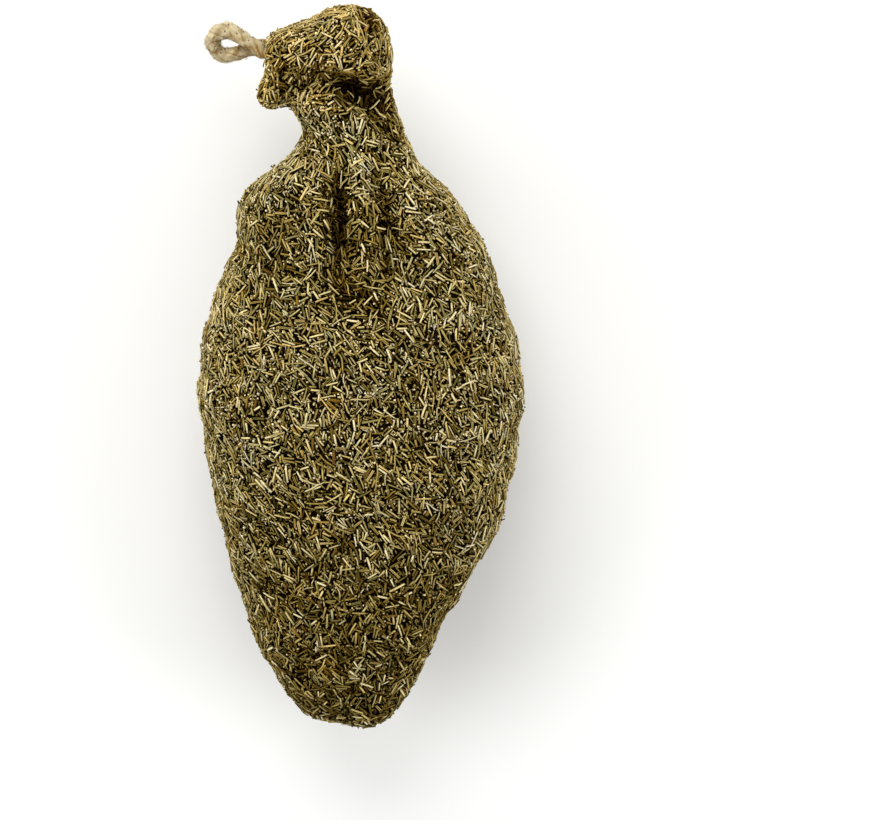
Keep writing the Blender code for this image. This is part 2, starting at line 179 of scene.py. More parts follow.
# Places on the shown side with painted shade, in millimetres: middle across and from the blunt tip, reach
# both ways, and how much darker. Where that is below 0, the crust gets painted light instead.
PAINTED_SHADE_AND_LIGHT = (
    (-5.0, 289.0, 7.0, 4.5, 1.8),
    (3.5, 286.0, 9.5, 6.5, 3.0),
    (-32.3, 295.0, 2.5, 8.5, 1.9),
    (-37.0, 300.0, 3.0, 5.0, 0.45),
    (-21.0, 295.0, 9.0, 2.2, 1.3),
    (2.5, 320.5, 2.4, 2.8, 2.6),
    (6.5, 316.0, 2.4, 3.6, 2.6),
    (9.8, 308.0, 2.6, 5.0, 0.5),
    (9.5, 277.0, 5.0, 7.0, 1.1),
    (14.5, 267.0, 4.5, 9.0, 0.85),
    (-3.0, 257.0, 17.0, 13.0, -0.42),
    (-9.0, 236.0, 6.0, 21.0, 1.9),
    (-4.3, 201.0, 9.0, 7.0, 1.3),
    (2.0, 226.0, 8.0, 22.0, 0.62),
    (11.5, 236.0, 4.5, 16.0, 0.45),
    (17.0, 221.0, 8.0, 10.0, 0.5),
    (20.0, 225.0, 22.0, 16.0, 0.17),
    (43.0, 215.0, 4.0, 5.0, 0.4),
    (-35.0, 223.0, 18.0, 14.0, 0.55),
    (-36.0, 195.0, 9.0, 6.0, 0.3),
    (59.0, 151.0, 9.0, 30.0, -0.15),
    (-32.0, 54.0, 14.0, 16.0, -0.22),
)

# Patches of the crust are more golden than the rest, and the roll is
GOLDEN = (1.07, 0.97, 0.74)  # what turns a herb's colour golden
GOLDEN_PATCH = 16.0  # millimetres
GOLDEN_MEAN = 0.25
GOLDEN_SPREAD = 0.5
GOLDEN_ROLL = 0.8  # how much more golden the roll is

# Which way herbs lie on the shown side: most of the body's run steeply down to the right, the roll's to its
# left
BODY_LIE = math.radians(118)
ROLL_LIE = math.radians(50)
LIE_SHARE = 0.5  # of the herbs that follow it
LIE_SPREAD = math.radians(27)
CLUMP_TURN = math.radians(40)  # how far neighbours turn together
CLUMP_PATCH = 3.5  # millimetres
FACING_END = 0.9  # from this share of a normal on, the skin faces one of the ham's ends
HERB_WAVE = 0.35  # a herb's bend to both sides, as a share of its bend to one
LOOSE_SHARE = 0.3  # of the herbs of a bundle, lying by themselves
BUNDLE_GAP = (0.85, 1.25)  # from herb to herb, in widths
BUNDLE_SLIP = 0.25  # along each other, in lengths
BUNDLE_TURN = 0.14  # radians, away from each other

# The top layer's herbs lie beside each other
ROOM_CELL = 1.6 * MM
ROOM_SPOTS = 5  # tested along each herb
ROOM_SHARE = 0.88  # of two herbs' half widths, kept between their middles
CROSSING_CHANCE = 0.025  # for each try, of lying over others
CROSSING_HEIGHT = 0.5 * MM
TRIES = 4  # for each herb of the top layer

# Cross-sections as (across, out) shares of half the width and of the thickness, clockwise when seen along
# the herb, and how light each point is: painted light along a herb's top and painted shade along its edges
# and in the rolled leaf's groove.
ROD = ((-1.0, 0.0, 0.02), (0.0, 1.0, 1.45), (1.0, 0.0, 0.02))
FLAT_ROD = ((-1.0, 0.0, 0.01), (-0.62, 0.9, 0.9), (0.62, 0.9, 1.15), (1.0, 0.0, 0.01))
CRUMB = ((-1.0, 0.0, 0.4), (0.0, 1.0, 1.2), (1.0, 0.0, 0.4))
ROLLED = ((-1.0, 0.0, 0.03), (-0.6, 1.0, 1.3), (0.0, 0.3, 0.25), (0.6, 1.0, 1.3), (1.0, 0.0, 0.03))

# Colours as they are seen, 0 to 255, with their shares
PALE_HERBS = (
    ((219, 205, 159), 0.30),
    ((199, 183, 127), 0.28),
    ((192, 168, 104), 0.12),
    ((160, 151, 104), 0.16),
    ((132, 118, 70), 0.14),
)
# Herbs deep in the crust: darker herbs, and painted shade of the gaps they lie in
DARK_HERBS_AND_SHADE = (
    ((52, 39, 9), 0.35),
    ((36, 26, 4), 0.30),
    ((72, 60, 22), 0.20),
    ((22, 14, 2), 0.15),
)
LEAF_HERBS = (
    ((170, 158, 100), 0.40),
    ((142, 136, 86), 0.25),
    ((186, 163, 100), 0.35),
)
WOODY_HERBS = (
    ((156, 128, 72), 0.4),
    ((134, 106, 58), 0.3),
    ((180, 150, 84), 0.3),
)
CUT_ENDS = (
    ((222, 206, 158), 0.45),
    ((190, 174, 122), 0.35),
    ((138, 124, 78), 0.20),
)


class Herb(NamedTuple):
    """One kind of cut herb that lies along the crust. Sizes and heights are ranges in millimetres."""

    name: str
    count: int
    section: tuple
    rings: int
    length: tuple
    width: tuple
    thickness: tuple
    height: tuple  # of its underside over the skin
    ends: tuple  # how narrow the ends are, as a range of shares
    light: tuple  # of the lowest and of the topmost: painted shade darkens the lower herbs
    colours: tuple = PALE_HERBS
    tilt: float = 0.2  # how much higher one end lies than the other, in millimetres
    bend: float = 0.0  # sideways, as a share of the length
    clumping: float = 0.0
    tied_end: float = 1.0  # how much denser on the neck and the roll
    bundle: int = 1  # how many lie side by side
    on_top: bool = True  # beside each other in the top layer


HERBS = (
    Herb(
        "herb_crumbs",
        count=12000,
        section=CRUMB,
        rings=2,
        length=(2.5, 6.5),
        width=(1.0, 1.8),
        thickness=(0.5, 0.9),
        height=(-2.0, -1.3),
        ends=(0.6, 1.0),
        light=(0.1, 0.8),
        colours=DARK_HERBS_AND_SHADE,
        tilt=0.4,
        on_top=False,
    ),
    Herb(
        "herb_litter",
        count=12000,
        section=ROD,
        rings=2,
        length=(2.5, 6.0),
        width=(0.7, 1.1),
        thickness=(0.4, 0.6),
        height=(-1.6, -0.7),
        ends=(0.8, 1.0),
        light=(0.02, 0.32),
        tilt=0.4,
        on_top=False,
    ),
    Herb(
        "herb_stems",
        count=260,
        section=ROD,
        rings=7,
        length=(8.0, 12.0),
        width=(0.85, 1.1),
        thickness=(0.45, 0.6),
        height=(-0.4, 0.1),
        ends=(0.7, 0.95),
        light=(0.5, 0.9),
        colours=PALE_HERBS[:3],
        tilt=0.15,
        bend=0.09,
        clumping=0.3,
        tied_end=1.4,
    ),
    Herb(
        "herb_wood",
        count=150,
        section=FLAT_ROD,
        rings=2,
        length=(2.5, 6.0),
        width=(1.2, 2.0),
        thickness=(0.5, 0.9),
        height=(-0.6, 0.0),
        ends=(0.7, 1.0),
        light=(0.5, 1.0),
        colours=WOODY_HERBS,
        clumping=0.5,
    ),
    Herb(
        "herb_leaves",
        count=1500,
        section=ROLLED,
        rings=2,
        length=(3.5, 6.5),
        width=(1.15, 1.7),
        thickness=(0.45, 0.65),
        height=(-0.5, 0.1),
        ends=(0.5, 0.95),
        light=(0.55, 1.15),
        colours=LEAF_HERBS,
        clumping=0.4,
        tied_end=0.8,
    ),
    Herb(
        "herb_curls",
        count=2000,
        section=ROD,
        rings=4,
        length=(4.0, 7.0),
        width=(0.75, 1.05),
        thickness=(0.45, 0.6),
        height=(-0.6, 0.1),
        ends=(0.8, 1.0),
        light=(0.45, 0.95),
        bend=0.05,
        clumping=0.15,
        bundle=2,
    ),
    Herb(
        "herb_needles",
        count=9800,
        section=FLAT_ROD,
        rings=3,
        length=(3.0, 7.6),
        width=(0.68, 1.14),
        thickness=(0.45, 0.7),
        height=(-0.5, 0.1),
        ends=(0.85, 1.0),
        light=(0.65, 1.35),
        bend=0.02,
        clumping=0.15,
        bundle=3,
    ),
    Herb(
        "herb_bits",
        count=14000,
        section=ROD,
        rings=2,
        length=(1.1, 2.8),
        width=(0.55, 0.85),
        thickness=(0.35, 0.55),
        height=(-0.8, 0.0),
        ends=(0.8, 1.0),
        light=(0.3, 1.1),
        tilt=0.3,
    ),
)

# Cut stems that stand on end, in millimetres
CUT_END_COUNT = 16400
CUT_END_SIDES = 4
CUT_END_CROSSING = 0.22  # share of the places that may be on other herbs
CUT_END_RADIUS = (0.27, 0.45)
CUT_END_LEAN = 0.45
CUT_END_TOP = (-0.5, 0.4)  # over the skin
CUT_END_LENGTH = 1.5
CUT_END_FOOT = 1.7  # how much wider the foot is than the top
# Painted shade: how light a stem's foot is, deep in the crust
CUT_END_FOOT_LIGHT = 0.03
CUT_END_SPREAD = 0.15
ANY_WAY = (0.31, 0.52, 0.8)  # a direction that no stem has

# Materials, light and floor
NOISE_RANGE = (0.3, 0.7)  # where most of a noise's values are
# The bed's herb dust, painted near black as the shade in the gaps between the needles
DUST_AND_SHADE_DARK = (10, 6, 2)
DUST_AND_SHADE_LIGHT = (36, 27, 8)
DUST_RAMP = (0.38, 0.68)  # values of the noise with these two colours
FLOOR_HALF = 3.0
FLOOR_COLOUR = (244, 244, 242)
LIGHT_SIZE = 1.0
LIGHTS = (
    ("key", (-0.2, 1.0, 0.9), 11),
    ("left", (-1.1, 0.0, 0.7), 8),
    ("right", (1.1, 0.0, 0.7), 8),
)
WORLD_COLOUR = (1.0, 1.0, 1.0, 1.0)
WORLD_STRENGTH = 0.55


def linear(colour):
    """A seen colour, 0 to 255, as linear light."""
    share = np.asarray(colour, float) / 255
    return np.where(share <= 0.04045, share / 12.92, ((share + 0.055) / 1.055) ** 2.4)


def darkened(colours, light):
    """Linear colours with less light, which turns them browner, or with more, which turns them paler."""
    return colours * light * np.minimum(light, PALEST) ** (np.array(DARKENING) - 1)


def unit(vectors):
    """The vectors at length 1."""
    return vectors / np.maximum(np.linalg.norm(vectors, axis=-1, keepdims=True), 1e-12)


# Camera


def add_camera():
    data = bpy.data.cameras.new("camera")
    data.sensor_width = SENSOR_WIDTH
    data.lens = SENSOR_WIDTH * VIEW_DISTANCE / PHOTO_WIDTH
    camera = bpy.data.objects.new("camera", data)
    tilt = math.radians(VIEW_TILT)
    towards_camera = Vector((0.0, math.sin(tilt), math.cos(tilt)))
    camera.location = Vector(VIEW_CENTRE) + towards_camera * VIEW_DISTANCE
    camera.rotation_euler = (-tilt, 0.0, 0.0)
    bpy.context.scene.collection.objects.link(camera)
    bpy.context.scene.camera = camera


# Meshes from arrays


def mesh_object(name, points, quads, triangles, colours):
    """A mesh object from arrays. Triangles close the ends, so they are flat where the sides are smooth."""
    data = bpy.data.meshes.new(name)
    corners = np.concatenate([quads.ravel(), triangles.ravel()]).astype(np.int32)
    starts = np.concatenate([np.arange(len(quads)) * 4, len(quads) * 4 + np.arange(len(triangles)) * 3])
    smooth = np.arange(len(starts)) < len(quads)
    data.vertices.add(len(points))
    data.vertices.foreach_set("co", points.astype(np.float32).ravel())
    data.loops.add(len(corners))
    data.loops.foreach_set("vertex_index", corners)
    data.polygons.add(len(starts))
    data.polygons.foreach_set("loop_start", starts.astype(np.int32))
    data.polygons.foreach_set("use_smooth", smooth)
    data.update(calc_edges=True)
    # Each point's colour, which holds the herbs' painted light and shade
    layer = data.color_attributes.new("point_colour", "FLOAT_COLOR", "POINT")
    opaque = np.column_stack([colours, np.ones(len(colours))])
    layer.data.foreach_set("color", opaque.astype(np.float32).ravel())
    obj = bpy.data.objects.new(name, data)
    bpy.context.scene.collection.objects.link(obj)
    return obj


def tube_faces(count, rings, sides):
    """Faces of many closed tubes whose points are stored tube by tube and ring by ring."""
    ring, side = np.meshgrid(np.arange(rings - 1), np.arange(sides), indexing="ij")
    following = (side + 1) % sides
    one = np.stack(
        [
            ring * sides + side,
            ring * sides + following,
            (ring + 1) * sides + following,
            (ring + 1) * sides + side,
        ],
        axis=-1,
    ).reshape(-1, 4)
    fan = np.array([(0, j, j + 1) for j in range(1, sides - 1)])
    ends = np.concatenate([fan[:, ::-1], fan + (rings - 1) * sides])
    shift = (np.arange(count) * rings * sides)[:, None, None]
    return (one[None] + shift).reshape(-1, 4), (ends[None] + shift).reshape(-1, 3)


# The twine


def twine_route():
    """Centreline of the twine: out of the tied end, round the bow and back in, one leg over the other."""
    exit_x, exit_y = TWINE_EXIT
    bow_x, bow_y = LOOP_BOW
    inside = exit_x + TWINE_SOCKET
    half = LEG_SPACING / 2
    step = LEG_STEP / 2
    crossing_x = exit_x - LEG_CROSSING
    crossing_y = exit_y + step
    points = [
        (inside, exit_y - step, half),
        (inside - SOCKET_POINT, exit_y - step, half),
        (exit_x - EXIT_POINT, exit_y - step, half),
        (exit_x - LEG_BEND, exit_y - step, half),
        (crossing_x, crossing_y + CROSSING_STEP, half * CROSSING_SPACING),
    ]
    for degrees in BOW_ANGLES:
        angle = math.radians(degrees)
        x = bow_x + LOOP_RADIUS * BOW_STRETCH * math.cos(angle)
        y = bow_y + LOOP_RADIUS * math.sin(angle)
        points.append((x, y, half * BOW_LEAN * math.sin(angle)))
    points += [
        (crossing_x, crossing_y - CROSSING_STEP, -half * CROSSING_SPACING),
        (exit_x - LEG_BEND, exit_y + step, -half),
        (exit_x - EXIT_POINT, exit_y + step, -half),
        (inside - SOCKET_POINT, exit_y + step, -half),
        (inside, exit_y + step, -half),
    ]
    start = exit_x - DROOP_START
    far = start - bow_x + LOOP_RADIUS
    route = []
    for x, y, z in points:
        droop = LOOP_DROOP * min(max((start - x) / far, 0), 1) ** DROOP_POWER
        route.append(Vector((AXIS_X + x, TIP_Y + y, AXIS_Z + ROLL_FORWARD + z - droop)) * MM)
    return route


def smooth_route(points, count):
    """Evenly placed points on a Catmull-Rom curve through the route's own points."""
    fine = []
    for i in range(len(points) - 1):
        before = points[max(i - 1, 0)]
        here = points[i]
        after = points[i + 1]
        beyond = points[min(i + 2, len(points) - 1)]
        for step in range(ROUTE_STEPS):
            t = step / ROUTE_STEPS
            fine.append(
                0.5
                * (
                    2 * here
                    + (after - before) * t
                    + (2 * before - 5 * here + 4 * after - beyond) * t**2
                    + (3 * here - before - 3 * after + beyond) * t**3
                )
            )
    fine.append(points[-1])
    along = np.concatenate([[0], np.cumsum([(b - a).length for a, b in zip(fine, fine[1:])])])
    wanted = np.linspace(0, along[-1], count)
    return np.stack([np.interp(wanted, along, [p[k] for p in fine]) for k in range(3)], axis=1)


def carried_frames(line):
    """Two directions across a line at each of its points, carried along it without twisting."""
    forward = unit(np.gradient(line, axis=0))
    side = np.cross(forward[0], (0.0, 0.0, 1.0))
    sides = []
    for direction in forward:
        side = side - direction * np.dot(side, direction)
        side = side / np.linalg.norm(side)
        sides.append(side)
    sides = np.array(sides)
    return sides, np.cross(sides, forward)


def ply_groove(along, angle):
    """How deep between the plies a place on the twine lies: 0 on top of a ply, 1 in the groove."""
    turned = angle - along * TWINE_TURNS * 2 * math.pi
    return 1 - np.abs(np.cos(turned * TWINE_PLIES / 2))


def twine_radius(along, angle):
    """The twine's radius, in metres, at shares of its length and at angles round it."""
    groove = ply_groove(along, angle)
    swell = TWINE_SWELL * (np.exp(-(((along - SWELL_MIDDLE) / SWELL_REACH) ** 2)) - SWELL_OFFSET)
    uneven = sum(height * np.sin(along * run + angle * around) for height, run, around in TWINE_WAVES)
    return TWINE_DIAMETER / 2 * MM * (PLY_TOP + swell - PLY_GROOVE * groove**GROOVE_POWER + uneven)


def twine_surface(line, sides, ups, along, angle):
    """Points on the twine's surface at shares of its length and angles round it, and directions out of it."""
    at = along * (len(line) - 1)
    low = np.clip(at.astype(int), 0, len(line) - 2)
    share = (at - low)[..., None]
    centre = line[low] * (1 - share) + line[low + 1] * share
    out = unit(sides[low]) * np.sin(angle)[..., None] + unit(ups[low]) * np.cos(angle)[..., None]
    return centre + out * twine_radius(along, angle)[..., None], out


def twine_colour(along, angle, random):
    """The twine's colour: browner towards its legs, in its grooves, inside the bow and in patches."""
    legs = np.exp(-((np.minimum(along, 1 - along) / LEG_REACH) ** 2))
    inside = 0.5 - 0.5 * np.sin(angle)
    patches = 0.5 + PATCH_SWING * np.sin(along * PATCH_RUNS[0] + 2 * np.sin(angle * 2 + 1))
    patches = patches + PATCH_SWING * np.sin(along * PATCH_RUNS[1] + angle * 3)
    groove = ply_groove(along, angle)
    stain = LEG_STAIN * legs + GROOVE_BROWNING * groove**3 + (INSIDE_BROWNING * inside + PATCH_STAIN) * patches
    stain = np.clip(stain + random.normal(0, STAIN_GRAIN, along.shape), 0, 1)[..., None]
    return linear(TWINE_PALE) * (1 - stain) + linear(TWINE_BROWN) * stain


def add_twine(line, material, random):
    """Soft twine of three plies, as one mesh whose grooves wind round it."""
    sides, ups = carried_frames(line)
    along = np.linspace(0, 1, len(line))[:, None] * np.ones((1, TWINE_SIDES))
    angle = np.ones((len(line), 1)) * np.arange(TWINE_SIDES) * 2 * math.pi / TWINE_SIDES
    points, _ = twine_surface(line, sides, ups, along, angle)
    quads, ends = tube_faces(1, len(line), TWINE_SIDES)
    colours = twine_colour(along, angle, random)
    twine = mesh_object("twine_rope", points.reshape(-1, 3), quads, ends, colours.reshape(-1, 3))
    twine.data.materials.append(material)
    return twine


def add_fibres(line, material, random):
    """Loose fibres that lie along the plies, their ends standing off the twine."""
    sides, ups = carried_frames(line)
    start = random.uniform(*FIBRE_STARTS, FIBRES)[:, None]
    run = random.uniform(*FIBRE_RUN, FIBRES)[:, None]
    step = np.linspace(0, 1, FIBRE_RINGS)[None]
    along = np.clip(start + run * step, *FIBRE_SPAN)
    angle = random.uniform(0, 2 * math.pi, FIBRES)[:, None]
    angle = angle + (along - start) * TWINE_TURNS * 2 * math.pi
    angle = angle + random.normal(0, FIBRE_DRIFT, FIBRES)[:, None] * step
    places, out = twine_surface(line, sides, ups, along, angle)
    lift = random.gamma(*FIBRE_LIFT, FIBRES)[:, None]
    lift = lift * np.abs(step * 2 - random.uniform(*FIBRE_TOUCH, (FIBRES, 1))) ** FIBRE_LIFT_POWER
    places = places + out * (np.clip(lift, 0, FIBRE_MOST_LIFT) * MM)[..., None]
    forward = unit(np.gradient(places, axis=1))
    across = unit(np.cross(forward, out))
    radius = random.uniform(*FIBRE_RADIUS, (FIBRES, 1, 1, 1)) * MM
    turn = (np.arange(FIBRE_SIDES) * 2 * math.pi / FIBRE_SIDES)[None, None, :, None]
    ring = across[:, :, None] * np.cos(turn) + out[:, :, None] * np.sin(turn)
    points = places[:, :, None] + ring * radius
    quads, ends = tube_faces(FIBRES, FIBRE_RINGS, FIBRE_SIDES)
    colours = twine_colour(along, angle, random)[:, :, None] * np.ones((1, 1, FIBRE_SIDES, 1)) * FIBRE_LIGHT
    fibres = mesh_object("twine_fibres", points.reshape(-1, 3), quads, ends, colours.reshape(-1, 3))
    fibres.data.materials.append(material)
    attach(fibres, "root")


def add_specks(line, material, random):
    """Crumbs of herb caught in the twine."""
    sides, ups = carried_frames(line)
    along = random.uniform(*SPECK_SPAN, SPECKS)
    angle = random.uniform(0, 2 * math.pi, SPECKS)
    places, out = twine_surface(line, sides, ups, along, angle)
    aside = unit(np.cross(out, random.normal(0, 1, (SPECKS, 3))))
    ahead = np.cross(out, aside)
    long = random.uniform(*SPECK_LENGTH, SPECKS)[:, None] * MM
    wide = random.uniform(*SPECK_WIDTH, SPECKS)[:, None] * MM
    corners = [aside * long, ahead * wide, -aside * long, -ahead * wide]
    low = [places - out * SPECK_SUNK * MM + corner for corner in corners]
    high = [places + out * SPECK_PROUD * MM + corner * SPECK_TOP for corner in corners]
    points = np.stack([np.stack(low, axis=1), np.stack(high, axis=1)], axis=1)
    quads, ends = tube_faces(SPECKS, 2, len(corners))
    shade = random.uniform(*SPECK_LIGHT, (SPECKS, 1, 1, 1))
    colours = linear(TWINE_SPECK) * shade * np.ones((1, 2, len(corners), 1))
    specks = mesh_object("twine_specks", points.reshape(-1, 3), quads, ends, colours.reshape(-1, 3))
    specks.data.materials.append(material)
    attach(specks, "root")


# The crust's form and what lies on it


def add_smoothing(form, rounds):
    soften = form.modifiers.new("soften", "SMOOTH")
    soften.factor = 0.5
    soften.iterations = rounds


def take_modified(form):
    """The form's mesh as its modifiers leave it. The modifiers are then removed."""
    data = bpy.data.meshes.new_from_object(form.evaluated_get(bpy.context.evaluated_depsgraph_get()))
    form.modifiers.clear()
    return data


def ham_form(node):
    """The ham's own surface, closer meshed and softened, as an object."""
    form = bpy.data.objects.new("herb_core", node.data.copy())
    bpy.context.scene.collection.objects.link(form)
    remesh = form.modifiers.new("fine", "REMESH")
    remesh.mode = "VOXEL"
    remesh.voxel_size = FORM_VOXEL
    add_smoothing(form, FORM_SMOOTHING)
    form.data = take_modified(form)
    return form


def read_points(data, what):
    """One of a mesh's values at its points, such as where they are, as an array."""
    values = np.empty(len(data.vertices) * 3, np.float32)
    data.vertices.foreach_get(what, values)
    return values.reshape(-1, 3).astype(float)


def smoothed(form, rounds):
    """The form's points after that many rounds of smoothing."""
    add_smoothing(form, rounds)
    data = take_modified(form)
    points = read_points(data, "co")
    bpy.data.meshes.remove(data)
    return points


def painted_crust_light(place, normal, hollow):
    """Painted light and shade on the crust at each place: darker in folds and at the shaded places, lighter
    at a few, and darker towards the tip, which is partly the crust's own tone.
    """
    # Painted shade in the folds
    light = np.exp(-HOLLOW_SHADE * np.clip(hollow, *HOLLOW_RANGE))
    from_tip, along_light = zip(*LIGHT_ALONG)
    across = place[:, 0] / MM - AXIS_X
    along = place[:, 1] / MM - TIP_Y
    # Partly painted shade towards the tip and painted light towards the tied end, partly the crust's own tone
    light = light * np.interp(along, from_tip, along_light)
    # Painted shade at the listed places on the shown side, and painted light where the amount is below 0
    for x, y, reach_x, reach_y, darker in PAINTED_SHADE_AND_LIGHT:
        near = np.exp(-(((across - x) / reach_x) ** 2) - ((along - y) / reach_y) ** 2)
        light = light * np.exp(-darker * near * (normal[:, 2] > 0))
    return light


class Skin:
    """The form as arrays: where herbs can lie, and the nearest place on it to any point."""

    def __init__(self, form, twine_line):
        data = form.data
        data.calc_loop_triangles()
        corners = np.empty(len(data.loop_triangles) * 3, np.int32)
        data.loop_triangles.foreach_get("vertices", corners)
        self.corners = corners.reshape(-1, 3)
        self.points = read_points(data, "co")
        self.normals = read_points(data, "normal")
        a, b, c = (self.points[self.corners[:, i]] for i in range(3))
        self.centres = (a + b + c) / 3
        self.areas = np.linalg.norm(np.cross(b - a, c - a), axis=1) / 2
        self.tree = BVHTree.FromPolygons(self.points.tolist(), self.corners.tolist())
        self.twine = twine_line
        few, many = (smoothed(form, rounds) for rounds in HOLLOW_ROUNDS)
        self.hollow = ((many - few) * self.normals).sum(axis=1) / MM

    def scatter(self, count, random, density=None):
        """Places spread over the skin by area and by density, with their normals and their painted light and
        shade.
        """
        weight = self.areas * (density(self.centres) if density else 1.0)
        chosen = random.choice(len(weight), count, p=weight / weight.sum())
        u = np.sqrt(random.random(count))[:, None]
        v = random.random(count)[:, None]
        shares = (1 - u, u * (1 - v), u * v)
        place = sum(s * self.points[self.corners[chosen, i]] for i, s in enumerate(shares))
        normal = unit(sum(s * self.normals[self.corners[chosen, i]] for i, s in enumerate(shares)))
        hollow = sum(s[:, 0] * self.hollow[self.corners[chosen, i]] for i, s in enumerate(shares))
        light = painted_crust_light(place, normal, hollow)
        to_twine = np.linalg.norm(place[:, None] - self.twine[None, ::TWINE_EVERY], axis=2)
        far = to_twine.min(axis=1) > TWINE_CLEARANCE
        return place[far], normal[far], light[far]

    def nearest(self, points):
        """The nearest place on the skin to each point, and the skin's normal there."""
        flat = points.reshape(-1, 3)
        places = np.empty_like(flat)
        faces = np.empty(len(flat), np.int64)
        for i, point in enumerate(flat):
            place, _, face, _ = self.tree.find_nearest(point)
            places[i] = place
            faces[i] = face
        normals = unit(self.normals[self.corners[faces]].sum(axis=1))
        return places.reshape(points.shape), normals.reshape(points.shape)


def clumps(points, size):
    """Slow unevenness over the surface, from about -1 to 1."""
    x, y, z = (points / (size * MM)).T
    first = np.sin(x * 2.1 + 1.7 * np.sin(y * 1.3 + 0.4)) * np.sin(y * 1.9 + 1.1 * np.sin(z * 1.7))
    second = np.sin(z * 2.3 + 1.3 * np.sin(x * 1.1 + 2.0)) * np.sin(y * 2.9 + x * 0.7)
    return 0.6 * first + 0.4 * second


def golden(places, tied_end):
    """How golden the crust is at each place, from 0 to 1."""
    patches = GOLDEN_MEAN + GOLDEN_SPREAD * clumps(places, GOLDEN_PATCH)
    return np.clip(patches + GOLDEN_ROLL * (places[:, 1] > tied_end), 0, 1)


def capped(colours):
    """Linear colours whose red goes no higher than the lightest herb's."""
    return colours * np.minimum(1, LIGHTEST / np.maximum(colours[..., :1], 1e-6))


def pick_colours(table, light, gold, random, spread):
    """Linear colours drawn from a table by its shares, as light and as golden as each place is."""
    shares = np.array([share for _, share in table])
    chosen = random.choice(len(table), len(light), p=shares / shares.sum())
    colours = linear([colour for colour, _ in table])[chosen] * np.array(GOLDEN) ** gold[:, None]
    spreads = spread + DARK_SPREAD * np.clip(1 - light, 0, 1)
    return darkened(colours, (light * np.exp(spreads * random.normal(0, 1, len(light))))[:, None])


def lie_angles(places, random, tied_end):
    """Which way each herb lies: some follow the body's or the roll's lie, and neighbours turn together."""
    count = len(places)
    lie = np.where(places[:, 1] > tied_end, ROLL_LIE, BODY_LIE)
    followed = lie + CLUMP_TURN * clumps(places, CLUMP_PATCH) + random.normal(0, LIE_SPREAD, count)
    return np.where(random.random(count) < LIE_SHARE, followed, random.uniform(0, 2 * math.pi, count))


def herb_directions(normals, angle):
    """Directions along and across herbs that lie on the skin at these angles."""
    guide = np.where(np.abs(normals[:, 1:2]) < FACING_END, (0.0, 1.0, 0.0), (1.0, 0.0, 0.0))
    aside = unit(np.cross(normals, guide))
    ahead = np.cross(normals, aside)
    along = aside * np.cos(angle)[:, None] + ahead * np.sin(angle)[:, None]
    return along, np.cross(normals, along)


class Room:
    """The spots of the skin that herbs of the top layer have taken."""

    def __init__(self):
        self.taken = {}

    def is_free(self, spots, cells, half_width):
        for (x, y, z), (i, j, k) in zip(spots, cells):
            for cell in itertools.product((i - 1, i, i + 1), (j - 1, j, j + 1), (k - 1, k, k + 1)):
                for taken_x, taken_y, taken_z, taken_half in self.taken.get(cell, ()):
                    apart = (x - taken_x) ** 2 + (y - taken_y) ** 2 + (z - taken_z) ** 2
                    if apart < ((half_width + taken_half) * ROOM_SHARE) ** 2:
                        return False
        return True

    def find(self, spots, widths, crossing, most):
        """Places herbs one after another where there is room, and says which found it."""
        cells = np.floor(spots / ROOM_CELL).astype(int).tolist()
        found = []
        for i, (herb_spots, herb_cells) in enumerate(zip(spots.tolist(), cells)):
            half = widths[i] / 2
            if not crossing[i] and not self.is_free(herb_spots, herb_cells, half):
                continue
            found.append(i)
            for spot, cell in zip(herb_spots, herb_cells):
                self.taken.setdefault(tuple(cell), []).append((*spot, half))
            if len(found) == most:
                break
        return np.array(found)


def bundle_up(herb, places, normals, angle, random):
    """Moves herbs beside the first of their bundle and turns them as it lies."""
    first = np.arange(len(places)) // herb.bundle * herb.bundle
    rank = np.arange(len(places)) - first
    loose = random.random(len(places)) < LOOSE_SHARE
    first = np.where(loose, np.arange(len(places)), first)
    rank = np.where(loose, 0, rank)
    along, across = herb_directions(normals[first], angle[first])
    apart = rank * random.uniform(*BUNDLE_GAP, len(places)) * herb.width[1] * MM
    slip = np.where(rank > 0, random.normal(0, BUNDLE_SLIP, len(places)) * herb.length[1] * MM, 0)
    turned = angle[first] + np.where(rank > 0, random.normal(0, BUNDLE_TURN, len(places)), 0)
    return places[first] + across * apart[:, None] + along * slip[:, None], normals[first], turned


def herb_lines(herb, skin, places, normals, angle, length, raised, random):
    """The centreline of each herb along the skin, with the directions across it and out of the skin."""
    count = len(places)
    along, across = herb_directions(normals, angle)
    step = np.linspace(-0.5, 0.5, herb.rings)
    curve = random.normal(0, herb.bend, count)[:, None] * (step**2 * 4 - 0.5) * 0.5
    curve = curve + random.normal(0, herb.bend * HERB_WAVE, count)[:, None] * np.sin(step * 2 * math.pi)
    line = places[:, None] + length[:, None, None] * (
        step[None, :, None] * along[:, None] + curve[:, :, None] * across[:, None]
    )
    line, ups = skin.nearest(line)
    tilt = random.normal(0, herb.tilt, count)[:, None] * MM * step[None] * 2
    share = random.random(count)
    height = (herb.height[0] + (herb.height[1] - herb.height[0]) * share) * MM
    line = line + ups * ((height + raised)[:, None] + tilt)[:, :, None]
    forward = unit(np.gradient(line, axis=1))
    sides = unit(np.cross(forward, ups))
    return line, sides, np.cross(sides, forward), share


